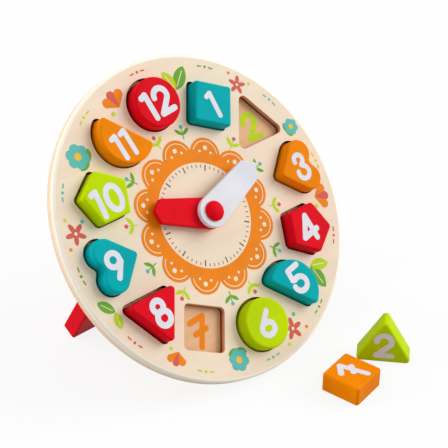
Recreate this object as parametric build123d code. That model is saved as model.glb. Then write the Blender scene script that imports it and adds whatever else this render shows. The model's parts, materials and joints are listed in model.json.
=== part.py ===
from build123d import *
from math import acos, atan2, cos, hypot, radians, sin, sqrt
import os

# Round shape-sorting clock on a fold-out stand. Lengths are millimetres, angles are degrees.
# The row frame has +Z up and the dial facing -Y, with its origin at the middle of the bottom of
# the box round everything, the two blocks that lie on the table included.

# Board
board_diameter = 260.0
panel_thickness = 6.0
backing_thickness = 4.0
front_rim_radius = 2.8
back_rim_radius = 1.2
pocket_lip = 0.4
lean_angle = 40.2

# Number blocks, which are thicker than their pockets are deep. Each shape lies twice on the dial,
# at opposite hours. Its outline's sizes, its distance from the dial's centre along the hour's line
# and its shift clockwise from that line are shares of the board's radius.
hour_count = 12
block_thickness = 16.4
block_edge_radius = 2.0
block_back_chamfer = 0.8
block_clearance = 1.1
seat_gap = 0.1
round_radius_share = 0.1554
round_distance_share = 0.7277
round_shift_share = -0.0115
square_side_share = 0.2538
square_corner_share = 0.0185
square_distance_share = 0.6846
square_shift_share = 0.0077
triangle_inradius_share = 0.1023
triangle_corner_share = 0.0231
triangle_distance_share = 0.7262
triangle_shift_share = -0.0054
heart_lobe_share = 0.0823
heart_offset_share = 0.0823
heart_drop_share = 0.1677
heart_tip_share = 0.0223
heart_cleft_share = 0.0392
heart_distance_share = 0.7808
heart_shift_share = -0.0146
pentagon_inradius_share = 0.1346
pentagon_corner_share = 0.0231
pentagon_distance_share = 0.6969
pentagon_shift_share = -0.0038
pentagon_turn = 12.0
moon_radius_share = 0.18
moon_flat_share = 0.0292
moon_corner_share = 0.0262
moon_distance_share = 0.6977
moon_shift_share = 0.0515
moon_turn = 13.5

# The blocks lie this far right of and below the middle of their pockets, which are wider than they are
seat_shift_right = 0.6
seat_shift_down = 0.6

# The two blocks that are out of their pockets: the square lies flat and the triangle stands on a side
lying_hour = 7
lying_x = 28.9
lying_y = -58.3
lying_turn = 40.4
standing_hour = 2
standing_x = 69.8
standing_y = -54.2
standing_turn = -50.0

# Centre peg and hands
peg_radius = 4.0
peg_fit = 0.02
peg_back_recess = 0.5
running_clearance = 0.08
cap_radius = 8.0
cap_height = 4.8
cap_side_height = 1.2
spacer_radius = 9.0
spacer_thickness = 3.0
washer_radius = 7.5
washer_thickness = 0.6
stack_gap = 0.2
hand_thickness = 4.5
hand_hub_radius = 12.5
hand_edge_radius = 0.8
hand_corner_radius = 2.0
hour_hand_length_share = 0.3777
hour_hand_point = 5.5
hour_hand_half_width = 9.7
hour_hand_turn = 156.1
minute_hand_length_share = 0.4615
minute_hand_point = 9.2
minute_hand_half_width = 9.9
minute_hand_turn = 19.3

# Fold-out stand. Its angle is that of the open legs from upright.
stand_width_share = 0.6992
stand_angle = 29.6
stand_thickness = 13.8
stand_leg_width = 28.0
stand_bar_height = 30.0
stand_inner_radius = 14.0
stand_foot_radius = 2.0
stand_edge_radius = 1.4
stand_fold_gap = 1.0
stand_stop_gap = 0.3
hinge_drop = 2.5
hinge_block_width = 12.0
hinge_block_inset = 0.3
hinge_flange_length = 30.0
hinge_flange_thickness = 4.0
hinge_side_gap = 0.6
hinge_root_radius = 1.5
hinge_edge_radius = 0.6
pin_radius = 2.5
pin_grip = 18.0
pin_end_gap = 1.0
pin_head_radius = 4.2
pin_head_height = 1.6
pin_head_side = 0.5

# Cutting tools run this far past what they cut
overrun = 5.0

board_radius = board_diameter / 2
board_thickness = panel_thickness + backing_thickness
stand_width = board_diameter * stand_width_share
hour_turn = 360 / hour_count
triangle_inradius = board_radius * triangle_inradius_share


def filleted_polygon(inradius, sides, corner_radius):
    """A regular polygon with one corner up and every corner rounded."""
    flat = RegularPolygon(inradius, sides, major_radius=False, rotation=90)
    return fillet(flat.vertices(), corner_radius)


# Outlines, each with its own centre at the origin and its outward side up. grow widens it all round.

def round_outline(grow):
    return Circle(board_radius * round_radius_share + grow)


def square_outline(grow):
    side = board_radius * square_side_share + 2 * grow
    return RectangleRounded(side, side, board_radius * square_corner_share + grow)


def triangle_outline(grow):
    corner = board_radius * triangle_corner_share + grow
    return Rot(Z=180) * filleted_polygon(triangle_inradius + grow, 3, corner)


def pentagon_outline(grow):
    inradius = board_radius * pentagon_inradius_share + grow
    corner = board_radius * pentagon_corner_share + grow
    return Rot(Z=pentagon_turn) * filleted_polygon(inradius, 5, corner)


def heart_outline(grow):
    lobe = board_radius * heart_lobe_share + grow
    tip = board_radius * heart_tip_share + grow
    cleft = board_radius * heart_cleft_share - grow
    offset = board_radius * heart_offset_share
    drop = board_radius * heart_drop_share
    # Direction in which the straight side's outer face looks, from the tip's arc and the lobe's arc
    side_angle = atan2(drop, offset) - acos((tip - lobe) / hypot(offset, drop))
    side_lobe = (offset + lobe * cos(side_angle), lobe * sin(side_angle))
    side_tip = (tip * cos(side_angle), tip * sin(side_angle) - drop)
    # The cleft's arc touches both lobes from outside
    cleft_height = sqrt((lobe + cleft) ** 2 - offset ** 2)
    cleft_angle = atan2(cleft_height, -offset)
    cleft_lobe = (offset + lobe * cos(cleft_angle), lobe * sin(cleft_angle))
    middle_angle = (side_angle + cleft_angle) / 2
    lobe_middle = (offset + lobe * cos(middle_angle), lobe * sin(middle_angle))

    def mirrored(point):
        return (-point[0], point[1])

    edges = [
        ThreePointArc(cleft_lobe, lobe_middle, side_lobe),
        Line(side_lobe, side_tip),
        ThreePointArc(side_tip, (0, -drop - tip), mirrored(side_tip)),
        Line(mirrored(side_tip), mirrored(side_lobe)),
        ThreePointArc(mirrored(side_lobe), mirrored(lobe_middle), mirrored(cleft_lobe)),
        ThreePointArc(mirrored(cleft_lobe), (0, cleft_height - cleft), cleft_lobe),
    ]
    return make_face(edges)


def moon_outline(grow):
    """Rather more than half a disc, with its flat side to the right before it is turned."""
    radius = board_radius * moon_radius_share + grow
    flat = board_radius * moon_flat_share + grow
    corner = board_radius * moon_corner_share + grow
    corner_height = sqrt((radius - corner) ** 2 - (flat - corner) ** 2)
    corner_angle = atan2(corner_height, flat - corner)
    rim = (radius * cos(corner_angle), radius * sin(corner_angle))
    corner_middle = (
        flat - corner + corner * cos(corner_angle / 2),
        corner_height + corner * sin(corner_angle / 2),
    )
    edges = [
        Line((flat, -corner_height), (flat, corner_height)),
        ThreePointArc((flat, corner_height), corner_middle, rim),
        ThreePointArc(rim, (-radius, 0), (rim[0], -rim[1])),
        ThreePointArc((rim[0], -rim[1]), (corner_middle[0], -corner_middle[1]), (flat, -corner_height)),
    ]
    return Rot(Z=moon_turn) * make_face(edges)


# One entry for each shape, in the order of the hours
SHAPES = [
    (square_outline, square_distance_share, square_shift_share),
    (triangle_outline, triangle_distance_share, triangle_shift_share),
    (heart_outline, heart_distance_share, heart_shift_share),
    (pentagon_outline, pentagon_distance_share, pentagon_shift_share),
    (moon_outline, moon_distance_share, moon_shift_share),
    (round_outline, round_distance_share, round_shift_share),
]


def shape_of(hour):
    return SHAPES[(hour - 1) % len(SHAPES)]


def hour_seat(hour):
    """Where the outline's centre lies on the dial, with its outward side turned away from the middle."""
    distance_share, shift_share = shape_of(hour)[1:]
    return Rot(Z=-hour * hour_turn) * Pos(board_radius * shift_share, board_radius * distance_share, 0)


# Board pieces, in the board's frame: origin at the middle of the front face, +Y to 12, +Z out of the face

def peg_bore():
    length = board_thickness + 2 * overrun
    return Pos(0, 0, -board_thickness / 2) * Cylinder(peg_radius + peg_fit, length)


def face_panel():
    panel = Pos(0, 0, -panel_thickness) * extrude(Circle(board_radius), panel_thickness)
    panel = fillet(panel.edges().sort_by(Axis.Z)[-1], front_rim_radius)
    for hour in range(1, hour_count + 1):
        outline = shape_of(hour)[0](block_clearance)
        pocket = extrude(outline, panel_thickness + 2 * overrun)
        panel -= hour_seat(hour) * Pos(0, 0, -panel_thickness - overrun) * pocket
    front = panel.faces().filter_by(Axis.Z).sort_by(Axis.Z)[-1]
    panel = chamfer([edge for wire in front.inner_wires() for edge in wire.edges()], pocket_lip)
    return panel - peg_bore()


def backing_panel():
    disc = Pos(0, 0, -board_thickness) * extrude(Circle(board_radius), backing_thickness)
    disc = fillet(disc.edges().sort_by(Axis.Z)[0], back_rim_radius)
    return disc - peg_bore()


def number_block(hour):
    """A block with its back on Z = 0, in the place of its own outline."""
    block = extrude(shape_of(hour)[0](0), block_thickness)
    back = block.faces().sort_by(Axis.Z)[0]
    block = chamfer(back.edges(), block_back_chamfer)
    front = block.faces().sort_by(Axis.Z)[-1]
    return fillet(front.edges(), block_edge_radius)


def dome_middle(radius, height):
    """Middle of a dome's arc, as its distance from the axis and its height above the dome's foot."""
    sphere = (radius ** 2 + height ** 2) / (2 * height)
    half_angle = atan2(radius, sphere - height) / 2
    return sphere * sin(half_angle), height - sphere + sphere * cos(half_angle)


# Heights above the dial of the pieces on the peg
hour_hand_height = spacer_thickness + stack_gap
washer_height = hour_hand_height + hand_thickness + stack_gap
minute_hand_height = washer_height + washer_thickness + stack_gap
cap_bottom = minute_hand_height + hand_thickness + stack_gap


def centre_peg():
    """Mushroom peg: the domed cap holds the hands on, the shank is glued in the board."""
    shank_bottom = peg_back_recess - board_thickness
    side_top = cap_bottom + cap_side_height
    cap_top = cap_bottom + cap_height
    middle_radius, middle_rise = dome_middle(cap_radius, cap_height - cap_side_height)
    edges = [
        Line((0, shank_bottom), (peg_radius, shank_bottom)),
        Line((peg_radius, shank_bottom), (peg_radius, cap_bottom)),
        Line((peg_radius, cap_bottom), (cap_radius, cap_bottom)),
        Line((cap_radius, cap_bottom), (cap_radius, side_top)),
        ThreePointArc((cap_radius, side_top), (middle_radius, side_top + middle_rise), (0, cap_top)),
        Line((0, cap_top), (0, shank_bottom)),
    ]
    return revolve(Plane.XZ * make_face(edges), Axis.Z)


def ring(outer_radius, thickness):
    return extrude(Circle(outer_radius) - Circle(peg_radius + running_clearance), thickness)


def hand(length, point, half_width):
    """A tapered hand along +X: round hub, square shoulders and a blunt point."""
    shoulder = length - point
    reach = hypot(shoulder, half_width)
    touch_angle = atan2(half_width, shoulder) + acos(hand_hub_radius / reach)
    touch = (hand_hub_radius * cos(touch_angle), hand_hub_radius * sin(touch_angle))
    edges = [
        Line(touch, (shoulder, half_width)),
        Line((shoulder, half_width), (length, 0)),
        Line((length, 0), (shoulder, -half_width)),
        Line((shoulder, -half_width), (touch[0], -touch[1])),
        ThreePointArc((touch[0], -touch[1]), (-hand_hub_radius, 0), touch),
    ]
    outline = make_face(edges)
    outline = fillet(outline.vertices().sort_by(Axis.X)[-3:], hand_corner_radius)
    blank = extrude(outline, hand_thickness)
    front = blank.faces().sort_by(Axis.Z)[-1]
    back = blank.faces().sort_by(Axis.Z)[0]
    blank = fillet(front.edges() + back.edges(), hand_edge_radius)
    bore = Cylinder(peg_radius + running_clearance, hand_thickness + 2 * overrun)
    return blank - Pos(0, 0, hand_thickness / 2) * bore


# Stand. The hinge's axis runs along X behind the board, where the folded frame lies flat against it. The
# board then lies on the frame's flat back, so the hinge blocks stay just inside its thickness.
hinge_depth = stand_thickness / 2 + stand_fold_gap
hinge_block_radius = stand_thickness / 2 - hinge_block_inset
face_height = (
    (board_radius - back_rim_radius) * cos(radians(lean_angle))
    + (board_thickness - back_rim_radius) * sin(radians(lean_angle))
    + back_rim_radius
)
face_setback = board_radius * sin(radians(lean_angle)) - board_thickness * cos(radians(lean_angle))
hinge_height = (
    face_height
    - hinge_drop * cos(radians(lean_angle))
    - (board_thickness + hinge_depth) * sin(radians(lean_angle))
)
hinge_setback = (
    face_setback
    - hinge_drop * sin(radians(lean_angle))
    + (board_thickness + hinge_depth) * cos(radians(lean_angle))
)
# The foot's rounded front corner has to reach the table, which sets the length of the legs
foot_half = stand_thickness / 2 - stand_foot_radius
foot_drop = hinge_height - stand_foot_radius - foot_half * sin(radians(stand_angle))
stand_leg_length = foot_drop / cos(radians(stand_angle)) + stand_foot_radius
open_angle = stand_angle + lean_angle


def stand_profile():
    """Side view of the stand on the YZ plane: hinge axis at the origin, foot down, +Z towards the board.

    The front corner at the top is an arc round the hinge, so that it can turn. The bevel beyond it
    is a stop, which comes to lie flat against the board when the stand is open.
    """
    half = stand_thickness / 2
    arc_radius = hinge_depth - stand_stop_gap
    opening = radians(open_angle)
    arc_start = (sqrt(arc_radius ** 2 - half ** 2), half)
    arc_end = (arc_radius * sin(opening), arc_radius * cos(opening))
    start_angle = atan2(arc_start[0], arc_start[1])
    arc_middle_angle = (start_angle + opening) / 2
    arc_middle = (arc_radius * sin(arc_middle_angle), arc_radius * cos(arc_middle_angle))
    back_top = ((arc_radius + half * cos(opening)) / sin(opening), -half)
    foot = -stand_leg_length
    edges = [
        Line((foot, half), arc_start),
        ThreePointArc(arc_start, arc_middle, arc_end),
        Line(arc_end, back_top),
        Line(back_top, (foot, -half)),
        Line((foot, -half), (foot, half)),
    ]
    outline = make_face(edges)
    return fillet(outline.vertices().sort_by(Axis.X)[:2], stand_foot_radius)


def stand_frame():
    """U-shaped frame with a foot each side, in the hinge's frame."""
    blank = extrude(Plane.YZ * stand_profile(), stand_width / 2, both=True)
    gap_width = stand_width - 2 * stand_leg_width
    gap_height = stand_leg_length - stand_bar_height + stand_inner_radius + overrun
    gap_middle = -stand_bar_height - gap_height / 2
    gap = extrude(RectangleRounded(gap_width, gap_height, stand_inner_radius), stand_thickness, both=True)
    blank -= Pos(0, gap_middle, 0) * gap
    ends = blank.faces().filter_by(Axis.X)
    outer = ends.sort_by(Axis.X)[0].edges() + ends.sort_by(Axis.X)[-1].edges()
    blank = fillet(outer, stand_edge_radius)
    bore_depth = pin_grip + pin_end_gap
    bore = Rot(Y=90) * Cylinder(pin_radius + running_clearance, bore_depth + overrun)
    for side in (-1, 1):
        blank -= Pos(side * (stand_width / 2 - bore_depth / 2 + overrun / 2), 0, 0) * bore
    return blank


def hinge_block():
    """Pillow block on the board's back, in the hinge's frame before it leans: +Z away from the board."""
    flange_middle = hinge_flange_thickness / 2 - hinge_depth
    flange = Pos(0, flange_middle) * Rectangle(hinge_flange_length, hinge_flange_thickness)
    neck = Pos(0, -hinge_depth / 2) * Rectangle(2 * hinge_block_radius, hinge_depth)
    outline = flange + neck + Circle(hinge_block_radius)
    inner_corners = [
        vertex
        for vertex in outline.vertices()
        if abs(abs(vertex.X) - hinge_block_radius) < hinge_edge_radius
        and abs(vertex.Y - hinge_flange_thickness + hinge_depth) < hinge_edge_radius
    ]
    outline = fillet(inner_corners, hinge_root_radius)
    block = extrude(Plane.YZ * outline, hinge_block_width / 2, both=True)
    ends = block.faces().filter_by(Axis.X)
    rims = ends.sort_by(Axis.X)[0].edges() + ends.sort_by(Axis.X)[-1].edges()
    raised = [edge for edge in rims if edge.center().Z > hinge_edge_radius - hinge_depth]
    block = chamfer(raised, hinge_edge_radius)
    return block - Rot(Y=90) * Cylinder(pin_radius + peg_fit, hinge_block_width + 2 * overrun)


def hinge_pin():
    """Round-headed pin along +X, with the head's underside at X = 0 and the shank on the minus side."""
    length = hinge_block_width + hinge_side_gap + pin_grip
    middle_radius, middle_rise = dome_middle(pin_head_radius, pin_head_height - pin_head_side)
    edges = [
        Line((-length, 0), (-length, pin_radius)),
        Line((-length, pin_radius), (0, pin_radius)),
        Line((0, pin_radius), (0, pin_head_radius)),
        Line((0, pin_head_radius), (pin_head_side, pin_head_radius)),
        ThreePointArc(
            (pin_head_side, pin_head_radius),
            (pin_head_side + middle_rise, middle_radius),
            (pin_head_height, 0),
        ),
        Line((pin_head_height, 0), (-length, 0)),
    ]
    return revolve(make_face(edges), Axis.X)


# Places in the row frame before it is centred: the board's back rim stands on the table at Y = 0
board_place = Plane(
    origin=(0, face_setback, face_height),
    x_dir=(1, 0, 0),
    z_dir=(0, -cos(radians(lean_angle)), sin(radians(lean_angle))),
).location
stand_place = Plane(
    origin=(0, hinge_setback, hinge_height),
    x_dir=(1, 0, 0),
    z_dir=(0, -cos(radians(stand_angle)), -sin(radians(stand_angle))),
).location


def block_place(hour):
    """From a block's own outline to the row frame."""
    outward = Rot(Z=-hour * hour_turn)
    if hour == lying_hour:
        return Pos(lying_x, lying_y, 0) * Rot(Z=lying_turn) * outward
    if hour == standing_hour:
        upright = Pos(0, 0, triangle_inradius) * Rot(X=90) * Pos(0, 0, -block_thickness)
        return Pos(standing_x, standing_y, 0) * Rot(Z=standing_turn) * upright * outward
    in_pocket = Pos(seat_shift_right, -seat_shift_down, seat_gap - panel_thickness)
    return board_place * in_pocket * hour_seat(hour)


def build_parts():
    parts = {}
    parts["face_panel"] = board_place * face_panel()
    parts["backing_panel"] = board_place * backing_panel()
    parts["centre_peg"] = board_place * centre_peg()
    parts["hand_spacer"] = board_place * ring(spacer_radius, spacer_thickness)
    parts["hand_washer"] = board_place * Pos(0, 0, washer_height) * ring(washer_radius, washer_thickness)
    hour_length = board_radius * hour_hand_length_share
    minute_length = board_radius * minute_hand_length_share
    hour_hand = hand(hour_length, hour_hand_point, hour_hand_half_width)
    minute_hand = hand(minute_length, minute_hand_point, minute_hand_half_width)
    parts["hour_hand"] = board_place * Pos(0, 0, hour_hand_height) * Rot(Z=hour_hand_turn) * hour_hand
    parts["minute_hand"] = board_place * Pos(0, 0, minute_hand_height) * Rot(Z=minute_hand_turn) * minute_hand
    for hour in range(1, hour_count + 1):
        parts[f"number_block_{hour:02d}"] = block_place(hour) * number_block(hour)
    parts["stand_frame"] = stand_place * stand_frame()
    block_centre = stand_width / 2 + hinge_side_gap + hinge_block_width / 2
    behind = Pos(0, -hinge_drop, -board_thickness - hinge_depth) * Rot(Y=180)
    for name, side in (("left", -1), ("right", 1)):
        parts[f"hinge_block_{name}"] = board_place * behind * Pos(-side * block_centre, 0, 0) * hinge_block()
        outer_end = side * (block_centre + hinge_block_width / 2)
        pin = Rot(Z=90 - 90 * side) * hinge_pin()
        parts[f"hinge_pin_{name}"] = stand_place * Pos(outer_end, 0, 0) * pin
    return parts


def centred(parts):
    """Moves every piece alike, so that the origin is the middle of the bottom of the whole set."""
    boxes = [shape.bounding_box() for shape in parts.values()]
    middle_x = (min(box.min.X for box in boxes) + max(box.max.X for box in boxes)) / 2
    middle_y = (min(box.min.Y for box in boxes) + max(box.max.Y for box in boxes)) / 2
    bottom = min(box.min.Z for box in boxes)
    shift = Pos(-middle_x, -middle_y, -bottom)
    return {name: shift * shape for name, shape in parts.items()}, shift


parts, shift = centred(build_parts())
os.makedirs("parts", exist_ok=True)
for name, shape in parts.items():
    export_step(shape, f"parts/{name}.step")
print("shift of the origin", shift.position)
print("length of the stand's legs", round(stand_leg_length, 3), "opening", round(open_angle, 3))
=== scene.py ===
"""Looks of the shape-sorting clock: paint, wood, printed numbers and dial design, camera and light."""

import json
import math

import bmesh
import bpy
import numpy as np
from mathutils import Matrix, Vector
from mathutils.geometry import delaunay_2d_cdt


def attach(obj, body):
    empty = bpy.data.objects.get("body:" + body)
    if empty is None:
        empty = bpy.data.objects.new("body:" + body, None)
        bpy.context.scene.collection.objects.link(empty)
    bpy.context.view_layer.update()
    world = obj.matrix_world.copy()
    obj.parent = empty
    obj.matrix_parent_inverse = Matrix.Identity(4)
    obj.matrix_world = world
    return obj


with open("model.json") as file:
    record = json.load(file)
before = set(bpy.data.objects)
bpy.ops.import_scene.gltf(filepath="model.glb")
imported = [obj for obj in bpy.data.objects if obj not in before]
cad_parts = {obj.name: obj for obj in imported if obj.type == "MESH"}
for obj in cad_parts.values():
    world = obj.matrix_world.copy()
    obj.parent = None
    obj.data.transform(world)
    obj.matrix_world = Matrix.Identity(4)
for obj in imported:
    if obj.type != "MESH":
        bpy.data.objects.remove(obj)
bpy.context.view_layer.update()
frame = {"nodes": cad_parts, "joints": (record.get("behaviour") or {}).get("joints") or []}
bpy.context.scene.view_settings.view_transform = "Standard"

MM = 0.001

# The photograph's camera, worked out from the board's rim, the pockets and the blocks on the table. It
# looks at a point that is this far from the dial's centre.
CAMERA_AZIMUTH = 43.39
CAMERA_ELEVATION = 33.52
CAMERA_ROLL = -0.74
CAMERA_TARGET = (-52.14 * MM, -76.34 * MM, 52.46 * MM)
CAMERA_DISTANCE = 1069.7 * MM
CAMERA_FOCAL_PIXELS = 1521.3
PHOTO_PIXELS = 448
SENSOR_WIDTH = 36.0

CLIP_START = 0.05
CLIP_END = 50.0

# Light: an even surround and three soft boxes, and the paper on the floor as the light and the eye meet it.
# Angles are the boxes' widths in degrees. The floor's half width and the clips above are in metres.
WORLD_STRENGTH = 0.54
KEY_STRENGTH = 1.8
KEY_DIRECTION = (0.74, -0.46, 0.49)
KEY_ANGLE = 40.0
SIDE_STRENGTH = 1.55
SIDE_DIRECTION = (-0.78, 0.60, 0.15)
SIDE_ANGLE = 25.0
BACK_STRENGTH = 0.65
BACK_DIRECTION = (-0.38, 0.56, 0.74)
BACK_ANGLE = 40.0
PAPER = 0.46
SEEN_PAPER = 0.93
FLOOR_GLOW = 0.86
FLOOR_HALF = 4.0
FLOOR_DROP = 0.05 * MM
WHITE_LIGHT = (1, 1, 1, 1)

# Colours as they look, red, green and blue out of 255. Pocket walls turn dark brown toward their floor, over
# the height set below, and carry painted shade, near black, where something lies within the reach set below, as
# in the gaps round seated blocks. From here on sizes are in millimetres.
DIAL_WOOD = (244, 224, 198)
# Painted highlight: the rounded front edge of the face is painted near white
ROUNDING_HIGHLIGHT_WOOD = (255, 248, 232)
RIM_WOOD = (255, 222, 190)
CUT_WOOD = (240, 168, 122)
# Dark brown that pocket walls turn to toward their floor; darkened further, it is also the painted gap shade
DARK_WALL_WOOD = (118, 46, 26)
# Height above the pocket floor over which the walls turn from cut wood to the dark brown
WALL_DARKENING_HEIGHT = 5.2
# Painted shade: pocket walls go near black where something lies within this reach
GAP_SHADE_REACH = 4.0
RIM_ROUNDING = 2.8
FLOOR_WOOD = (234, 187, 138)
RED = (230, 12, 32)
TEAL = (0, 174, 180)
LIME = (193, 223, 0)
ORANGE = (246, 137, 0)
WHITE = (234, 234, 242)
LEAF = (108, 174, 44)
CORAL = (222, 98, 84)
PALE_TEAL = (98, 194, 186)
STEEL = (200, 200, 205)
MARK_INK = (150, 104, 70)
DOT_INK = (250, 236, 210)
DETAIL_INK = (246, 236, 206)
MIDDLE_INK = (248, 200, 60)
NYLON_TONES = ((222, 222, 224), (238, 238, 240))

BLOCK_COLOURS = {12: RED, 1: TEAL, 2: LIME, 3: ORANGE, 4: RED, 5: TEAL,
                 6: LIME, 7: ORANGE, 8: RED, 9: TEAL, 10: LIME, 11: ORANGE}

# Middles of the numbers on the seated blocks and on the two open pockets' floors, in the dial's frame
NUMBER_PLACES = {12: (-2.0, 92.1), 1: (45.0, 74.5), 3: (95.9, 0.6), 4: (76.6, -45.0), 5: (45.2, -76.2),
                 6: (0.3, -94.5), 8: (-80.2, -49.4), 9: (-97.3, -3.3), 10: (-79.4, 41.2), 11: (-46.1, 73.2)}
FLOOR_NUMBER_PLACES = {2: (81.3, 47.4), 7: (-44.5, -77.1)}

# The blocks on the table, the one on its back and the one on its side, and how their numbers lie
LOOSE_BLOCKS = (7, 2)
LYING_TURN = 40.4
STANDING_TURN = -50.0
STANDING_NUMBER_HEIGHT = 16.0

# Half widths of the numbers' strokes, and how far prints lie above what carries them
NUMBER_STROKE = 2.35
OTHER_STROKES = {1: 2.1, 3: 2.1, 4: 2.45, 8: 2.45, 9: 2.25, 11: 2.1, 12: 2.45}
PRINT_LIFT = 0.06
INK_LAYER = 0.02
INK_STEP = 0.4
WIDE_STEP = 0.5
RING_STEP = 0.7
MARK_STEP = 0.35
NUMBER_BOX = (-17, -15, 17, 15)


# Frames: the dial's own frame has +Y to 12 and +Z out of the face

hour_joint = next(joint for joint in frame["joints"] if joint["name"] == "hour_hand_turn")
dial_normal = Vector(hour_joint["axis"]).normalized()
dial_centre = Vector(hour_joint["pos_m"])
dial_x = Vector((1, 0, 0))
DIAL = Matrix((dial_x, dial_normal.cross(dial_x), dial_normal)).transposed().to_4x4()
DIAL.translation = dial_centre


def node_extent(name, matrix):
    """Lowest and highest corner of a node in another frame."""
    inverse = matrix.inverted()
    points = [inverse @ vertex.co for vertex in frame["nodes"][name].data.vertices]
    low = Vector([min(point[axis] for point in points) for axis in range(3)])
    high = Vector([max(point[axis] for point in points) for axis in range(3)])
    return low, high


def block_node(hour):
    return f"number_block_{hour:02d}"


def turned(degrees):
    return Matrix.Rotation(math.radians(degrees), 4, "Z")


# Material nodes

def linear(colour):
    """A colour as it looks, out of 255, as the shader's own values."""
    parts = [channel / 255 for channel in colour]
    return tuple(c / 12.92 if c <= 0.04045 else ((c + 0.055) / 1.055) ** 2.4 for c in parts) + (1.0,)


def shaded(colour, share):
    return tuple(min(255, channel * share) for channel in colour)


class Shader:
    """A material with its nodes. add() makes a node, and takes values or other nodes' outputs."""

    def __init__(self, name):
        self.material = bpy.data.materials.new(name)
        self.material.use_nodes = True
        self.nodes = self.material.node_tree.nodes
        self.links = self.material.node_tree.links
        self.nodes.clear()
        self.output = self.nodes.new("ShaderNodeOutputMaterial")

    def add(self, kind, inputs=None, **settings):
        node = self.nodes.new("ShaderNode" + kind)
        for key, value in settings.items():
            setattr(node, key, value)
        for key, value in (inputs or {}).items():
            socket = node.inputs[key]
            if isinstance(value, bpy.types.NodeSocket):
                self.links.new(value, socket)
            else:
                socket.default_value = value
        return node

    def math(self, operation, first, second=0.0):
        return self.add("Math", {0: first, 1: second}, operation=operation).outputs[0]

    def mix(self, factor, first, second):
        node = self.add("Mix", {"Factor": factor}, data_type="RGBA")
        for socket, value in ((node.inputs[6], first), (node.inputs[7], second)):
            if isinstance(value, bpy.types.NodeSocket):
                self.links.new(value, socket)
            else:
                socket.default_value = value
        return node.outputs[2]

    def ramp(self, value, low, high):
        """0 below low, 1 above high, smooth between."""
        node = self.add("MapRange", {"Value": value, "From Min": low, "From Max": high},
                        interpolation_type="SMOOTHSTEP")
        return node.outputs["Result"]

    def place(self, scale=(1, 1, 1), dial=False):
        """Coordinates in metres, in the row's frame or the dial's, stretched by scale."""
        point = self.add("TexCoord").outputs["Object"]
        if dial:
            to_dial = DIAL.inverted()
            point = self.add("Mapping", {"Vector": point, "Location": to_dial.translation,
                                         "Rotation": to_dial.to_euler()}, vector_type="POINT").outputs[0]
        return self.add("Mapping", {"Vector": point, "Scale": scale}, vector_type="POINT").outputs[0]

    def noise(self, point, scale, detail=3.0, roughness=0.5):
        return self.add("TexNoise", {"Vector": point, "Scale": scale, "Detail": detail,
                                     "Roughness": roughness}).outputs["Fac"]

    def finish(self, colour, roughness, height, bump, distance, **sockets):
        """Ends in a Principled shader. sockets are constants for it, such as coat_weight."""
        shader = self.add("BsdfPrincipled", {"Base Color": colour, "Roughness": roughness})
        for key, value in sockets.items():
            shader.inputs[key.replace("_", " ").title().replace("Ior", "IOR")].default_value = value
        bumped = self.add("Bump", {"Height": height, "Strength": bump, "Distance": distance})
        self.links.new(bumped.outputs[0], shader.inputs["Normal"])
        self.links.new(shader.outputs[0], self.output.inputs[0])
        return self.material


# Finishes: noise scales are cells in a metre, tones are shares of the colour, and a ramp's two numbers
# are where it starts and where it is full
CLOUD_RAMP = (0.3, 0.7)
EDGE_STARTS, EDGE_FULL = 0.995, 0.93

PAINT_CLOUDS, PAINT_FIBRES = 28.0, 900.0
PAINT_TONES = (0.965, 1.02)
PAINT_GRAIN_RAMP = (0.55, 0.75)
PAINT_GRAIN, PAINT_GRAIN_TONE = 0.10, 0.86
# Painted highlight: paint is mixed toward a paler colour along its edges, over this radius
PAINT_HIGHLIGHT_RADIUS = 0.8
PAINT_EDGE_HIGHLIGHT, PAINT_HIGHLIGHT_LIFT = 0.3, 0.3
PAINT_ROUGHNESS = (0.4, 0.5)
PAINT_BUMP, PAINT_BUMP_DEPTH = 0.12, 0.05
PAINT_GLOSS = 0.03

PRINT_CLOUDS, PRINT_SPECKS = 60.0, 1800.0
PRINT_TONE = 0.965
PRINT_SPECK_RAMP = (0.6, 0.8)
PRINT_SPECK, PRINT_SPECK_TONE = 0.08, 0.88
PRINT_ROUGHNESS = (0.4, 0.52)
PRINT_BUMP, PRINT_BUMP_DEPTH = 0.06, 0.03
PRINT_GLOSS = 0.1

WOOD_FIBRES, WOOD_FIBRE_STRETCH = 700.0, 0.06
WOOD_BANDS, WOOD_BAND_STRETCH = 60.0, 0.12
WOOD_LIGHTER, WOOD_DARKER = 0.4, 2.2
WOOD_FIBRE_RAMP, WOOD_FIBRE = (0.5, 0.72), 0.28

PLY_LAYER = 2.0
PLY_RAMP = (-0.5, 0.5)
PLY_TONES = (0.93, 1.06)
PLY_FLECKS, PLY_FLECK_STRETCH = 900.0, 0.4
PLY_FLECK_RAMP, PLY_FLECK, PLY_FLECK_TONE = (0.45, 0.7), 0.3, 0.86

DIAL_CONTRAST, CUT_CONTRAST, BACKING_CONTRAST, SPACER_CONTRAST = 0.022, 0.10, 0.045, 0.05
# Painted shade in narrow gaps: how closed the surround must be, and how dark the wall goes
GAP_SHADE_RAMP, GAP_SHADE_TONE = (0.45, 0.9), 0.15
FACE_RAMP, BACKING_RAMP = (0.86, 0.99), (0.55, 0.85)
RIM_BLEND, SHOULDER_BLEND = 0.6, 0.3
BACKING_RIM_TONE, SPACER_TONE = 0.95, 0.95
WOOD_BUMP_DEPTH = 0.06

STEEL_BRUSHING, STEEL_STRETCH = 300.0, 40
STEEL_TONE = 0.9
STEEL_ROUGHNESS = (0.22, 0.36)
NYLON_CLOUDS = 120.0
FINE_BUMP, FINE_BUMP_DEPTH = 0.05, 0.02


def edge_mask(shader, radius):
    """1 along outer edges, 0 on the flats."""
    soft = shader.add("Bevel", {"Radius": radius}, samples=4).outputs[0]
    hard = shader.add("NewGeometry").outputs["Normal"]
    dot = shader.add("VectorMath", {0: soft, 1: hard}, operation="DOT_PRODUCT").outputs["Value"]
    return shader.ramp(dot, EDGE_STARTS, EDGE_FULL)


def clouded_roughness(shader, cloud, low, high):
    return shader.add("MapRange", {"Value": cloud, "To Min": low, "To Max": high}).outputs[0]


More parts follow.
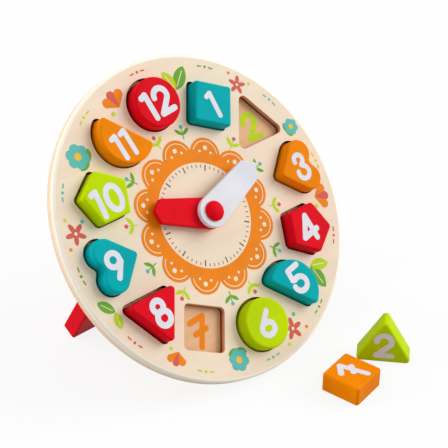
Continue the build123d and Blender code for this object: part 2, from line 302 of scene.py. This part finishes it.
def painted_wood(name, colour):
    """Satin paint over wood: the grain tells a little, and a painted highlight makes the edges a little paler.
    """
    shader = Shader(name)
    cloud = shader.noise(shader.place(), PAINT_CLOUDS)
    fibres = shader.noise(shader.place(), PAINT_FIBRES, 4.0, 0.6)
    dark, light = (linear(shaded(colour, tone)) for tone in PAINT_TONES)
    tone = shader.mix(shader.ramp(cloud, *CLOUD_RAMP), dark, light)
    grain = shader.math("MULTIPLY", shader.ramp(fibres, *PAINT_GRAIN_RAMP), PAINT_GRAIN)
    tone = shader.mix(grain, tone, linear(shaded(colour, PAINT_GRAIN_TONE)))
    # Painted highlight along the edges
    edge = shader.math("MULTIPLY", edge_mask(shader, PAINT_HIGHLIGHT_RADIUS * MM), PAINT_EDGE_HIGHLIGHT)
    tone = shader.mix(edge, tone, linear([c + (255 - c) * PAINT_HIGHLIGHT_LIFT for c in colour]))
    rough = clouded_roughness(shader, cloud, *PAINT_ROUGHNESS)
    return shader.finish(tone, rough, fibres, PAINT_BUMP, PAINT_BUMP_DEPTH * MM, specular_ior_level=PAINT_GLOSS)


def printed(name, colour):
    """Screen-printed ink, slightly uneven."""
    shader = Shader(name)
    cloud = shader.noise(shader.place(), PRINT_CLOUDS)
    fine = shader.noise(shader.place(), PRINT_SPECKS, 2.0)
    tone = shader.mix(shader.ramp(cloud, *CLOUD_RAMP), linear(shaded(colour, PRINT_TONE)), linear(colour))
    specks = shader.math("MULTIPLY", shader.ramp(fine, *PRINT_SPECK_RAMP), PRINT_SPECK)
    tone = shader.mix(specks, tone, linear(shaded(colour, PRINT_SPECK_TONE)))
    rough = clouded_roughness(shader, cloud, *PRINT_ROUGHNESS)
    return shader.finish(tone, rough, fine, PRINT_BUMP, PRINT_BUMP_DEPTH * MM, specular_ior_level=PRINT_GLOSS)


def stretched(shader, point, scale):
    return shader.add("Mapping", {"Vector": point, "Scale": scale}).outputs[0]


def wood_grain(shader, point, colour, contrast):
    """Pale wood with long fibres along X and a few darker pores."""
    fibres = shader.noise(stretched(shader, point, (WOOD_FIBRE_STRETCH, 1, 1)), WOOD_FIBRES, 5.0, 0.6)
    bands = shader.noise(stretched(shader, point, (WOOD_BAND_STRETCH, 1, 1)), WOOD_BANDS, 3.0, 0.55)
    tone = shader.mix(shader.ramp(bands, *CLOUD_RAMP), linear(shaded(colour, 1 - contrast)),
                      linear(shaded(colour, 1 + contrast * WOOD_LIGHTER)))
    pores = shader.math("MULTIPLY", shader.ramp(fibres, *WOOD_FIBRE_RAMP), WOOD_FIBRE)
    return shader.mix(pores, tone, linear(shaded(colour, 1 - WOOD_DARKER * contrast))), fibres


def layered_tone(shader, point, colour):
    """Cut edge of plywood: thin layers along the dial's depth, with end grain along the rim."""
    depth = shader.add("SeparateXYZ", {0: point}).outputs[2]
    wave = shader.math("SINE", shader.math("MULTIPLY", depth, 2 * math.pi / (PLY_LAYER * MM)))
    fleck = shader.noise(stretched(shader, point, (1, 1, PLY_FLECK_STRETCH)), PLY_FLECKS, 4.0, 0.6)
    dark, light = (linear(shaded(colour, tone)) for tone in PLY_TONES)
    tone = shader.mix(shader.ramp(wave, *PLY_RAMP), dark, light)
    flecks = shader.math("MULTIPLY", shader.ramp(fleck, *PLY_FLECK_RAMP), PLY_FLECK)
    return shader.mix(flecks, tone, linear(shaded(colour, PLY_FLECK_TONE)))


def facing_dial(shader):
    """1 where the surface faces along the dial's normal, 0 square to it, -1 on the back."""
    normal = shader.add("NewGeometry").outputs["True Normal"]
    return shader.add("VectorMath", {0: normal, 1: dial_normal}, operation="DOT_PRODUCT").outputs["Value"]


def dial_material():
    """Face panel: varnished pale face, pocket walls darker toward their floor with painted shade in narrow
    gaps, a painted highlight on the rounded edge, and layered rim.
    """
    shader = Shader("dial_wood")
    point = shader.place(dial=True)
    low, high = node_extent("face_panel", DIAL)
    face_tone, fibres = wood_grain(shader, point, DIAL_WOOD, DIAL_CONTRAST)
    cut_tone, _ = wood_grain(shader, point, CUT_WOOD, CUT_CONTRAST)
    split = shader.add("SeparateXYZ", {0: point})
    across, up, depth = split.outputs[0], split.outputs[1], split.outputs[2]
    # Pocket walls darken from cut wood at the top to dark brown at the pocket floor
    up_the_wall = shader.ramp(depth, low.z, low.z + WALL_DARKENING_HEIGHT * MM)
    wall_tone = shader.mix(up_the_wall, linear(DARK_WALL_WOOD), cut_tone)
    # Painted shade: near black where ambient occlusion finds something close, as in the gaps round seated
    # blocks
    opened = shader.add("AmbientOcclusion", {"Distance": GAP_SHADE_REACH * MM}, samples=8).outputs["AO"]
    wall_tone = shader.mix(shader.ramp(opened, *GAP_SHADE_RAMP), linear(shaded(DARK_WALL_WOOD, GAP_SHADE_TONE)), wall_tone)
    inner_tone = shader.mix(shader.ramp(facing_dial(shader), *FACE_RAMP), wall_tone, face_tone)
    squares = shader.math("ADD", shader.math("POWER", across, 2.0), shader.math("POWER", up, 2.0))
    reach = shader.math("POWER", squares, 0.5)
    rim = high.x - RIM_ROUNDING * MM
    outer = shader.ramp(reach, rim, rim + RIM_BLEND * MM)
    shoulder = high.z - RIM_ROUNDING * MM
    rounding = shader.ramp(depth, shoulder - SHOULDER_BLEND * MM, shoulder + SHOULDER_BLEND * MM)
    # Painted highlight: the rounded front edge is near white, and the rim side below it is layered plywood
    edge_tone = shader.mix(rounding, layered_tone(shader, point, RIM_WOOD), linear(ROUNDING_HIGHLIGHT_WOOD))
    tone = shader.mix(outer, inner_tone, edge_tone)
    return shader.finish(tone, 0.42, fibres, 0.10, WOOD_BUMP_DEPTH * MM, coat_weight=0.05, coat_roughness=0.3,
                         specular_ior_level=0.2)


def backing_material():
    """Backing panel: plainer, browner wood that floors the pockets, with a layered rim."""
    shader = Shader("backing_wood")
    point = shader.place(dial=True)
    flat_tone, fibres = wood_grain(shader, point, FLOOR_WOOD, BACKING_CONTRAST)
    rim_tone = layered_tone(shader, point, shaded(RIM_WOOD, BACKING_RIM_TONE))
    flat = shader.ramp(shader.math("ABSOLUTE", facing_dial(shader)), *BACKING_RAMP)
    tone = shader.mix(flat, rim_tone, flat_tone)
    return shader.finish(tone, 0.55, fibres, 0.15, WOOD_BUMP_DEPTH * MM, specular_ior_level=0.3)


def turned_wood_material():
    shader = Shader("spacer_wood")
    colour = shaded(DIAL_WOOD, SPACER_TONE)
    tone, fibres = wood_grain(shader, shader.place(dial=True), colour, SPACER_CONTRAST)
    return shader.finish(tone, 0.5, fibres, 0.15, 0.05 * MM)


def steel_material():
    shader = Shader("bright_steel")
    brushed = shader.noise(shader.place((STEEL_STRETCH, 1, 1)), STEEL_BRUSHING, 4.0, 0.6)
    tone = shader.mix(brushed, linear(shaded(STEEL, STEEL_TONE)), linear(STEEL))
    rough = clouded_roughness(shader, brushed, *STEEL_ROUGHNESS)
    return shader.finish(tone, rough, brushed, FINE_BUMP, FINE_BUMP_DEPTH * MM, metallic=1.0)


def nylon_material():
    shader = Shader("nylon")
    cloud = shader.noise(shader.place(), NYLON_CLOUDS)
    dark, light = (linear(tone) for tone in NYLON_TONES)
    tone = shader.mix(cloud, dark, light)
    return shader.finish(tone, 0.5, cloud, FINE_BUMP, FINE_BUMP_DEPTH * MM)


# Printed shapes: each is a rule that is below zero inside it, in millimetres, meshed along its edge

def arc(centre, radii, start, end, steps=24):
    """Points along an ellipse's arc, from start to end degrees."""
    angles = [math.radians(start + (end - start) * i / steps) for i in range(steps + 1)]
    return [(centre[0] + radii[0] * math.cos(a), centre[1] + radii[1] * math.sin(a)) for a in angles]


def stroke_rule(lines, radius):
    """Inside within radius of any of the lines."""
    def rule(x, y):
        nearest = np.full(np.shape(x), 1e9)
        for line in lines:
            for (ax, ay), (bx, by) in zip(line, line[1:]):
                dx, dy = bx - ax, by - ay
                length = dx * dx + dy * dy
                along = np.clip(((x - ax) * dx + (y - ay) * dy) / max(length, 1e-9), 0, 1)
                nearest = np.minimum(nearest, np.hypot(x - ax - along * dx, y - ay - along * dy))
        return nearest - radius
    return rule


def moved_rule(rule, x0, y0, degrees=0.0, scale=1.0):
    """The same shape moved, turned and sized."""
    c, s = math.cos(math.radians(degrees)), math.sin(math.radians(degrees))

    def moved(x, y):
        u, v = (x - x0) / scale, (y - y0) / scale
        return rule(u * c + v * s, v * c - u * s) * scale
    return moved


def joined_rule(rules):
    return lambda x, y: np.minimum.reduce([rule(x, y) for rule in rules])


def cut_rule(rule, hole):
    return lambda x, y: np.maximum(rule(x, y), -hole(x, y))


def ink(name, rule, box, matrix, material, body, step=INK_STEP):
    """A printed shape as a sheet on the plane Z = 0 of matrix. box is its outer limits in millimetres."""
    xs = np.arange(box[0], box[2] + step, step)
    ys = np.arange(box[1], box[3] + step, step)
    grid_x, grid_y = np.meshgrid(xs, ys, indexing="ij")
    field = rule(grid_x, grid_y)
    points = []
    crossing = {}

    def cross(key, i, j, k, m):
        a, b = field[i, j], field[k, m]
        if (a < 0) != (b < 0):
            t = a / (a - b)
            crossing[key] = len(points)
            points.append((xs[i] + (xs[k] - xs[i]) * t, ys[j] + (ys[m] - ys[j]) * t))

    for i in range(len(xs)):
        for j in range(len(ys)):
            if i + 1 < len(xs):
                cross(("x", i, j), i, j, i + 1, j)
            if j + 1 < len(ys):
                cross(("y", i, j), i, j, i, j + 1)
    edges = []
    for i in range(len(xs) - 1):
        for j in range(len(ys) - 1):
            sides = [("x", i, j), ("y", i + 1, j), ("x", i, j + 1), ("y", i, j)]
            met = [crossing[side] for side in sides if side in crossing]
            for first, second in zip(met[::2], met[1::2]):
                edges.append((first, second))
    flat, _, faces, *_ = delaunay_2d_cdt([Vector(p) for p in points], edges, [], 0, 1e-5)
    centres = np.array([sum((flat[index] for index in face), Vector((0, 0))) / len(face) for face in faces])
    inside = rule(centres[:, 0], centres[:, 1]) < 0
    mesh = bpy.data.meshes.new(name)
    corners = [matrix @ Vector((p[0] * MM, p[1] * MM, PRINT_LIFT * MM)) for p in flat]
    mesh.from_pydata(corners, [], [list(face) for face, keep in zip(faces, inside) if keep])
    mesh.validate()
    mesh.update()
    piece = bpy.data.objects.new(name, mesh)
    bpy.context.scene.collection.objects.link(piece)
    piece.data.materials.append(material)
    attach(piece, body)


# Numbers as strokes, in millimetres from the number's middle

NUMBERS = {
    1: [[(-2.7, 8.2), (1.2, 9.8), (1.7, -9.4)]],
    2: [arc((0, 4.2), (5.8, 5.8), 185, -35) + [(-5.6, -9.3), (6.3, -9.3)]],
    3: [arc((1.7, 6.2), (4.2, 4.2), 190, -60) + [(2.4, 1.6)],
        [(2.4, 1.6)] + arc((1.9, -4.4), (5.3, 5.3), 75, -200)],
    4: [[(2.6, 9.6), (-6.3, -6.3), (8.2, -3.5)], [(2.6, 9.6), (5.1, -10.0)]],
    5: [[(5.3, 10.0), (-5.1, 8.1), (-4.25, 0.0)] + arc((1.6, -5.0), (6.3, 5.7), 125, -175)],
    6: [arc((0.2, -5.0), (6.0, 5.0), 0, 360, 36), [(4.9, 7.7), (-5.3, -2.6)]],
    7: [[(-7.5, 8.6), (5.8, 9.3), (-6.4, -11.5)], [(-6.7, -1.1), (4.2, -0.4)]],
    8: [arc((-0.75, 4.6), (4.6, 4.6), 0, 360, 32), arc((0.4, -5.0), (5.6, 5.6), 0, 360, 36)],
    9: [arc((-0.7, 4.0), (5.3, 5.3), 0, 360, 36), [(4.6, 4.0), (4.9, 1.0), (-2.0, -9.8)]],
    10: [[(-11.9, 8.6), (-7.6, 9.8), (-7.6, -9.5)], arc((5.4, 0.6), (6.05, 9.4), 0, 360, 40)],
    11: [[(-8.3, 8.2), (-4.6, 9.6), (-2.1, -8.8)], [(0.8, 9.4), (4.75, 11.2), (7.3, -7.7)]],
    12: [[(-12.2, 8.75), (-8.1, 10.4), (-6.0, -9.2)],
         arc((5.0, 5.5), (6.0, 6.0), 180, -30) + [(0.7, -8.3), (12.7, -7.1)]],
}


# The 7 of the block that lies on the table is printed narrower
NARROW_SEVEN = [[(-4.9, 7.9), (4.9, 9.6), (-1.9, -12.1)], [(-1.6, -1.4), (5.5, 0.7)]]


def print_number(name, hour, matrix, colour, body, lines=None):
    rule = stroke_rule(lines or NUMBERS[hour], OTHER_STROKES.get(hour, NUMBER_STROKE))
    ink(name, rule, NUMBER_BOX, matrix, printed(name + "_ink", colour), body)


def print_block_numbers():
    for hour, (x, y) in NUMBER_PLACES.items():
        top = node_extent(block_node(hour), DIAL)[1].z
        place = DIAL @ Matrix.Translation((x * MM, y * MM, top))
        print_number(f"number_{hour:02d}", hour, place, WHITE, f"block_{hour:02d}")
    lying, standing = LOOSE_BLOCKS
    low, high = node_extent(block_node(lying), Matrix())
    place = Matrix.Translation(((low.x + high.x) / 2, (low.y + high.y) / 2, high.z)) @ turned(LYING_TURN)
    print_number(f"number_{lying:02d}", lying, place, WHITE, f"block_{lying:02d}", NARROW_SEVEN)
    side = turned(STANDING_TURN) @ Matrix.Rotation(math.radians(90), 4, "X")
    low, high = node_extent(block_node(standing), side)
    place = side @ Matrix.Translation(((low.x + high.x) / 2, low.y + STANDING_NUMBER_HEIGHT * MM, high.z))
    print_number(f"number_{standing:02d}", standing, place, WHITE, f"block_{standing:02d}")


def print_floor_numbers():
    """The numbers on the floors of the two empty pockets."""
    low, _ = node_extent("face_panel", DIAL)
    for hour, (x, y) in FLOOR_NUMBER_PLACES.items():
        place = DIAL @ Matrix.Translation((x * MM, y * MM, low.z))
        print_number(f"floor_number_{hour:02d}", hour, place, BLOCK_COLOURS[hour], "board")


# Dial design: a scalloped ring with minute marks, and small garden motifs between the pockets

RING_INNER = 42.0
SCALLOPS = 12
SCALLOP_RADIUS = 13.6
SCALLOP_DISTANCE = 49.2
RING_MARGIN = 2.0
MARK_OUTER = 40.0
HOUR_MARK_INNER, HOUR_MARK_HALF = 36.2, 0.62
MINUTE_MARK_INNER, MINUTE_MARK_HALF = 38.2, 0.38
SCALLOP_DOTS = ((0, 54.6, 1.9), (-5.6, 51.4, 1.1), (5.6, 51.4, 1.1))
TRIM_RADIUS, TRIM_HALF = 10.9, 0.35
TRIM_TURNS = range(-78, 79, 6)
DOTS_BOX = (-62, -62, 62, 62)
STAR_POINTS, STAR_WAVE = 5, 0.32
PETALS, PETAL_SHARE = 6, 0.42


def disc_rule(x0, y0, radius):
    return lambda x, y: np.hypot(x - x0, y - y0) - radius


def polar(radius, clock_degrees):
    """A point on the dial at that angle clockwise from 12."""
    angle = math.radians(clock_degrees)
    return radius * math.sin(angle), radius * math.cos(angle)


def leaf_rule(length, width):
    """Pointed leaf from the origin along +Y: where two discs overlap."""
    radius = (length * length + width * width) / (4 * width)
    offset = radius - width / 2
    middle = length / 2
    return lambda x, y: np.maximum(np.hypot(x - offset, y - middle), np.hypot(x + offset, y - middle)) - radius


def drop_rule(length, radius):
    """Drop with its point at the origin and its round end along +Y."""
    centre = length - radius
    slope = radius / centre

    def rule(x, y):
        cone = np.maximum(np.abs(x) - slope * y, y - centre)
        return np.minimum(cone, np.hypot(x, y - centre) - radius)
    return rule


def star_rule(radius):
    """Star of five rounded petals."""
    def rule(x, y):
        angle = np.arctan2(x, y)
        return np.hypot(x, y) - radius * (1 - STAR_WAVE + STAR_WAVE * np.cos(STAR_POINTS * angle))
    return rule


def blossom_rule(radius):
    """Six round petals that meet in the middle."""
    clocks = [360 * i / PETALS for i in range(PETALS)]
    return joined_rule([disc_rule(*polar(radius * (1 - PETAL_SHARE), clock), radius * PETAL_SHARE)
                        for clock in clocks])


def print_ring():
    clocks = [360 * i / SCALLOPS for i in range(SCALLOPS)]
    scallops = [disc_rule(*polar(SCALLOP_DISTANCE, clock), SCALLOP_RADIUS) for clock in clocks]
    filled = joined_rule(scallops + [disc_rule(0, 0, SCALLOP_DISTANCE)])
    rule = cut_rule(filled, disc_rule(0, 0, RING_INNER))
    reach = SCALLOP_DISTANCE + SCALLOP_RADIUS + RING_MARGIN
    box = (-reach, -reach, reach, reach)
    ink("dial_ring", rule, box, DIAL, printed("ring_ink", ORANGE), "board", RING_STEP)


def print_minute_marks():
    """Sixty marks inside the ring, with a longer one at each hour."""
    marks = []
    for minute in range(60):
        inner = MINUTE_MARK_INNER if minute % 5 else HOUR_MARK_INNER
        marks.append([polar(inner, minute * 6), polar(MARK_OUTER, minute * 6)])
    long_marks = stroke_rule(marks[::5], HOUR_MARK_HALF)
    short_marks = stroke_rule([mark for i, mark in enumerate(marks) if i % 5], MINUTE_MARK_HALF)
    rule = joined_rule([long_marks, short_marks])
    box = (-RING_INNER, -RING_INNER, RING_INNER, RING_INNER)
    ink("minute_marks", rule, box, DIAL, printed("mark_ink", MARK_INK), "board", MARK_STEP)


def print_scallop_dots():
    """Three pale dots on each scallop of the ring, the middle one larger, and a line along its edge."""
    rules = []
    for i in range(SCALLOPS):
        clock = 360 * i / SCALLOPS
        rules += [disc_rule(*polar(radius, clock + turn), size) for turn, radius, size in SCALLOP_DOTS]
        middle = polar(SCALLOP_DISTANCE, clock)
        line = [polar(TRIM_RADIUS, clock + turn) for turn in TRIM_TURNS]
        rules.append(stroke_rule([[(x + middle[0], y + middle[1]) for x, y in line]], TRIM_HALF))
    lifted = DIAL @ Matrix.Translation((0, 0, PRINT_LIFT * MM))
    ink("ring_dots", joined_rule(rules), DOTS_BOX, lifted, printed("dot_ink", DOT_INK), "board")


# Motifs: each is a list of ink, rule, place and turn, with its foot or middle at the origin and +Y outward

VEIN_HALF, STALK_HALF, DASH_HALF = 0.35, 0.45, 0.6
MOTIF_BOX = (-127, -127, 127, 127)


def sprout(spread):
    """Two veined leaves."""
    parts = []
    for group, turn, length, width in (("leaf", -spread, 19.0, 9.6), ("lime", spread, 15.5, 8.2)):
        vein = stroke_rule([[(0, length * 0.15), (0, length * 0.8)]], VEIN_HALF)
        parts += [(group, leaf_rule(length, width), 0, 0, turn), ("detail", vein, 0, 0, turn)]
    return parts


def star(side):
    """Star with three dots round it, the inner one to one side."""
    return [("coral", star_rule(8.4), 0, 0, 12), ("detail", disc_rule(0, 0, 1.3), 0, 0, 0),
            ("teal", disc_rule(0, 0, 1.5), 8 * side, -7, 0), ("orange", disc_rule(0, 0, 1.3), -10.5, 6.5, 0),
            ("lime", disc_rule(0, 0, 1.3), 10.5, 6, 0)]


def blossom():
    """Round flower over two small leaves."""
    leaves = [("leaf", leaf_rule(9.5, 4.4), 0, -9.0, turn) for turn in (-64, 64)]
    return leaves + [("teal", blossom_rule(9.0), 0, 0, 15), ("middle", disc_rule(0, 0, 2.7), 0, 0, 0)]


def drops(side):
    """Fan of three drops with a dot to one side."""
    fan = [("orange" if turn else "coral", drop_rule(13.5, 3.5), 0, 0, turn) for turn in (-38, 0, 38)]
    return fan + [("lime", disc_rule(0, 0, 1.6), 7.5 * side, -0.5, 0)]


def sprig(ink_name, dot):
    """Stalk with two slim leaves and a berry."""
    leaves = [(ink_name, leaf_rule(8.5, 3.0), 0, 0, turn) for turn in (-52, 52)]
    stalk = stroke_rule([[(0, -3.2), (0, 4.4)]], STALK_HALF)
    return leaves + [(ink_name, stalk, 0, 0, 0), (dot, disc_rule(0, 0, 1.7), 0, 6.6, 0)]


def seeds(ink_name):
    """A dot between two dashes."""
    dash = stroke_rule([[(-1.5, 0), (1.5, 0)]], DASH_HALF)
    return [(ink_name, disc_rule(0, 0, 1.2), 0, 0, 0),
            (ink_name, dash, -5.2, -0.3, 8), (ink_name, dash, 5.2, -0.3, -8)]


# Motif, degrees clockwise from 12, distance from the middle and size
OUTER_MOTIFS = [
    (sprout(31), 15.0, 101.0, 1.15), (star(-1), 45.0, 116.5, 0.95), (blossom(), 73.5, 118.8, 0.78),
    (drops(1), 104.0, 108.0, 1.05), (sprout(31), 136.0, 102.0, 1.15), (star(-1), 165.5, 114.0, 1.1),
    (blossom(), 195.0, 114.5, 1.0), (drops(1), 222.5, 111.5, 0.85), (sprout(66), 252.5, 114.5, 0.85),
    (star(1), 285.0, 114.5, 1.05), (blossom(), 315.0, 114.0, 1.12), (drops(-1), 344.5, 106.0, 1.1)]
SPRIG_CLOCKS = (12, 52, 76, 105, 136, 171, 190, 227, 255, 285, 315, 350)
SPRIG_DISTANCE = 64.8
SEED_DISTANCE = 122.0
SPRIG_INKS = (("leaf", "teal"), ("lime", "coral"))
SEED_INKS = ("coral", "leaf", "teal", "lime")


def print_motifs():
    """Garden motifs in the spaces between the pockets, each ink a little above the one before."""
    inks = {"leaf": LEAF, "lime": LIME, "coral": CORAL, "teal": PALE_TEAL, "orange": ORANGE,
            "detail": DETAIL_INK, "middle": MIDDLE_INK}
    motifs = list(OUTER_MOTIFS)
    for i, clock in enumerate(SPRIG_CLOCKS):
        motifs.append((sprig(*SPRIG_INKS[i % 2]), clock, SPRIG_DISTANCE, 1.0))
    for i in range(SCALLOPS):
        motifs.append((seeds(SEED_INKS[i % 4]), i * 360 / SCALLOPS, SEED_DISTANCE, 1.0))
    rules = {name: [] for name in inks}
    for parts, clock, distance, size in motifs:
        place_x, place_y = polar(distance, clock)
        for name, rule, x, y, turn in parts:
            rules[name].append(moved_rule(moved_rule(rule, x, y, turn), place_x, place_y, -clock, size))
    for level, (name, colour) in enumerate(inks.items()):
        lifted = DIAL @ Matrix.Translation((0, 0, level * INK_LAYER * MM))
        ink("motifs_" + name, joined_rule(rules[name]), MOTIF_BOX, lifted, printed(name + "_ink", colour),
            "board", WIDE_STEP)


# Screws that hold the hinge blocks to the board

SCREW_RADIUS = 2.8
SCREW_HEIGHT = 1.1
SCREW_SPACING = 11.0
RECESS_REACH = 1.5
RECESS_HALF = 0.36
RECESS_FLOOR = 0.3
HINGE_FLANGE = 4.0
SCREW_SIDES = 28
SCREW_PROFILE = ((1.0, 0.0), (1.0, 0.35), (0.93, 0.66), (0.8, 0.88), (0.64, 1.0))
SCREW_TURNS = {"left": (20, 65), "right": (48, 5)}


def screw_head(name, matrix, material, body):
    """Low domed head with a cross recess, standing on the plane Z = 0 of matrix."""
    sides = SCREW_SIDES
    points, faces = [], []
    for share, rise in SCREW_PROFILE:
        for i in range(sides):
            x, y = polar(SCREW_RADIUS * share, 360 * i / sides)
            points.append((x, y, SCREW_HEIGHT * rise))
    for level in range(len(SCREW_PROFILE) - 1):
        for i in range(sides):
            low, high = level * sides, (level + 1) * sides
            j = (i + 1) % sides
            faces.append((low + j, low + i, high + i, high + j))
    faces.append(tuple(range(sides)))
    a, b = RECESS_HALF, RECESS_REACH
    cross = [(b, -a), (b, a), (a, a), (a, b), (-a, b), (-a, a),
             (-b, a), (-b, -a), (-a, -a), (-a, -b), (a, -b), (a, -a)]
    rim = [Vector(point[:2]) for point in points[-sides:]]
    plan = rim + [Vector(corner) for corner in cross]
    loops = [(i, (i + 1) % sides) for i in range(sides)]
    loops += [(sides + i, sides + (i + 1) % len(cross)) for i in range(len(cross))]
    flat, _, parts, *_ = delaunay_2d_cdt(plan, loops, [], 0, 1e-6)
    top, floor = len(points), len(points) + len(flat)
    points += [(p.x, p.y, SCREW_HEIGHT) for p in flat]
    points += [(p.x, p.y, RECESS_FLOOR) for p in flat]
    for part in parts:
        middle = sum((flat[index] for index in part), Vector((0, 0))) / len(part)
        u, v = abs(middle.x), abs(middle.y)
        hollow = (u < a and v < b) or (v < a and u < b)
        faces.append(tuple((floor if hollow else top) + index for index in part))
    for i in range(len(cross)):
        first, second = sides + i, sides + (i + 1) % len(cross)
        faces.append((top + first, top + second, floor + second, floor + first))
    mesh = bpy.data.meshes.new(name)
    mesh.from_pydata([matrix @ (Vector(p) * MM) for p in points], [], faces)
    work = bmesh.new()
    work.from_mesh(mesh)
    bmesh.ops.remove_doubles(work, verts=work.verts, dist=0.001 * MM)
    bmesh.ops.delete(work, geom=[vert for vert in work.verts if not vert.link_faces], context="VERTS")
    bmesh.ops.recalc_face_normals(work, faces=work.faces)
    work.to_mesh(mesh)
    work.free()
    piece = bpy.data.objects.new(name, mesh)
    bpy.context.scene.collection.objects.link(piece)
    piece.data.materials.append(material)
    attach(piece, body)


def add_screws():
    """Two screws in each hinge block's flange. Returns their steel."""
    steel = steel_material()
    for side, turns in SCREW_TURNS.items():
        low, high = node_extent(f"hinge_block_{side}", DIAL)
        middle = (low + high) / 2
        for place, offset, turn in (("lower", -SCREW_SPACING, turns[0]), ("upper", SCREW_SPACING, turns[1])):
            spot = Vector((middle.x, middle.y + offset * MM, high.z - HINGE_FLANGE * MM))
            matrix = DIAL @ Matrix.Translation(spot) @ Matrix.Rotation(math.pi, 4, "X") @ turned(turn)
            screw_head(f"hinge_screw_{side}_{place}", matrix, steel, "board")
    return steel


# Materials of the CAD nodes

def coat(node, material):
    data = frame["nodes"][node].data
    data.materials.clear()
    data.materials.append(material)


def dress_nodes():
    paints = {RED: painted_wood("red_paint", RED), TEAL: painted_wood("teal_paint", TEAL),
              LIME: painted_wood("lime_paint", LIME), ORANGE: painted_wood("orange_paint", ORANGE)}
    for hour, colour in BLOCK_COLOURS.items():
        coat(block_node(hour), paints[colour])
    for node in ("centre_peg", "hour_hand", "stand_frame", "hinge_block_left", "hinge_block_right"):
        coat(node, paints[RED])
    coat("minute_hand", painted_wood("white_paint", WHITE))
    coat("face_panel", dial_material())
    coat("backing_panel", backing_material())
    coat("hand_spacer", turned_wood_material())
    coat("hand_washer", nylon_material())
    steel = add_screws()
    for side in ("left", "right"):
        coat(f"hinge_pin_{side}", steel)


# Camera, light and floor

def make_camera():
    azimuth, elevation = math.radians(CAMERA_AZIMUTH), math.radians(CAMERA_ELEVATION)
    forward = Vector((math.sin(azimuth) * math.cos(elevation), math.cos(azimuth) * math.cos(elevation),
                      -math.sin(elevation)))
    right = Vector((math.cos(azimuth), -math.sin(azimuth), 0))
    down = forward.cross(right)
    roll = math.radians(CAMERA_ROLL)
    rolled_right = right * math.cos(roll) + down * math.sin(roll)
    rolled_down = down * math.cos(roll) - right * math.sin(roll)
    place = Matrix((rolled_right, -rolled_down, -forward)).transposed().to_4x4()
    place.translation = dial_centre + Vector(CAMERA_TARGET) - forward * CAMERA_DISTANCE
    data = bpy.data.cameras.new("photo_camera")
    data.sensor_width = SENSOR_WIDTH
    data.lens = CAMERA_FOCAL_PIXELS * SENSOR_WIDTH / PHOTO_PIXELS
    data.clip_start = CLIP_START
    data.clip_end = CLIP_END
    camera = bpy.data.objects.new("photo_camera", data)
    camera.matrix_world = place
    bpy.context.scene.collection.objects.link(camera)
    bpy.context.scene.camera = camera


def seen_white(nodes, links):
    """1 for what the camera sees directly, in a mirror or through glass."""
    path = nodes.new("ShaderNodeLightPath")
    first = nodes.new("ShaderNodeMath")
    first.operation = "MAXIMUM"
    second = nodes.new("ShaderNodeMath")
    second.operation = "MAXIMUM"
    links.new(path.outputs["Is Camera Ray"], first.inputs[0])
    links.new(path.outputs["Is Glossy Ray"], first.inputs[1])
    links.new(first.outputs[0], second.inputs[0])
    links.new(path.outputs["Is Transmission Ray"], second.inputs[1])
    return second.outputs[0]


def make_world():
    world = bpy.data.worlds.new("studio")
    bpy.context.scene.world = world
    world.use_nodes = True
    nodes, links = world.node_tree.nodes, world.node_tree.links
    nodes.clear()
    output = nodes.new("ShaderNodeOutputWorld")
    light = nodes.new("ShaderNodeBackground")
    light.inputs["Strength"].default_value = WORLD_STRENGTH
    seen = nodes.new("ShaderNodeBackground")
    seen.inputs["Strength"].default_value = 1.0
    mix = nodes.new("ShaderNodeMixShader")
    links.new(seen_white(nodes, links), mix.inputs[0])
    links.new(light.outputs[0], mix.inputs[1])
    links.new(seen.outputs[0], mix.inputs[2])
    links.new(mix.outputs[0], output.inputs[0])
    for background in (light, seen):
        background.inputs["Color"].default_value = WHITE_LIGHT


def make_softbox(name, strength, direction, angle):
    """Far soft light that comes from direction and is angle degrees wide."""
    data = bpy.data.lights.new(name, "SUN")
    data.energy = strength
    data.angle = math.radians(angle)
    light = bpy.data.objects.new(name, data)
    light.rotation_mode = "QUATERNION"
    light.rotation_quaternion = Vector(direction).to_track_quat("Z", "Y")
    bpy.context.scene.collection.objects.link(light)


def make_floor():
    """White sweep that keeps soft shadows: nearly plain white to the eye, pale paper to the light."""
    half = FLOOR_HALF
    corners = [(-half, -half, 0), (half, -half, 0), (half, half, 0), (-half, half, 0)]
    mesh = bpy.data.meshes.new("floor")
    mesh.from_pydata(corners, [], [(0, 1, 2, 3)])
    floor = bpy.data.objects.new("floor", mesh)
    bpy.context.scene.collection.objects.link(floor)
    floor.location.z = -FLOOR_DROP
    material = bpy.data.materials.new("floor_paper")
    material.use_nodes = True
    nodes, links = material.node_tree.nodes, material.node_tree.links
    nodes.clear()
    output = nodes.new("ShaderNodeOutputMaterial")
    paper = nodes.new("ShaderNodeBsdfDiffuse")
    paper.inputs["Color"].default_value = (PAPER, PAPER, PAPER, 1)
    glow = nodes.new("ShaderNodeEmission")
    glow.inputs["Strength"].default_value = 1.0
    seen = nodes.new("ShaderNodeMixShader")
    seen.inputs[0].default_value = FLOOR_GLOW
    white_paper = nodes.new("ShaderNodeBsdfDiffuse")
    white_paper.inputs["Color"].default_value = (SEEN_PAPER, SEEN_PAPER, SEEN_PAPER, 1)
    links.new(white_paper.outputs[0], seen.inputs[1])
    links.new(glow.outputs[0], seen.inputs[2])
    mix = nodes.new("ShaderNodeMixShader")
    links.new(seen_white(nodes, links), mix.inputs[0])
    links.new(paper.outputs[0], mix.inputs[1])
    links.new(seen.outputs[0], mix.inputs[2])
    links.new(mix.outputs[0], output.inputs[0])
    mesh.materials.append(material)


make_camera()
make_world()
make_softbox("key_softbox", KEY_STRENGTH, KEY_DIRECTION, KEY_ANGLE)
make_softbox("side_softbox", SIDE_STRENGTH, SIDE_DIRECTION, SIDE_ANGLE)
make_softbox("back_softbox", BACK_STRENGTH, BACK_DIRECTION, BACK_ANGLE)
make_floor()
dress_nodes()
print_block_numbers()
print_floor_numbers()
print_ring()
print_minute_marks()
print_scallop_dots()
print_motifs()
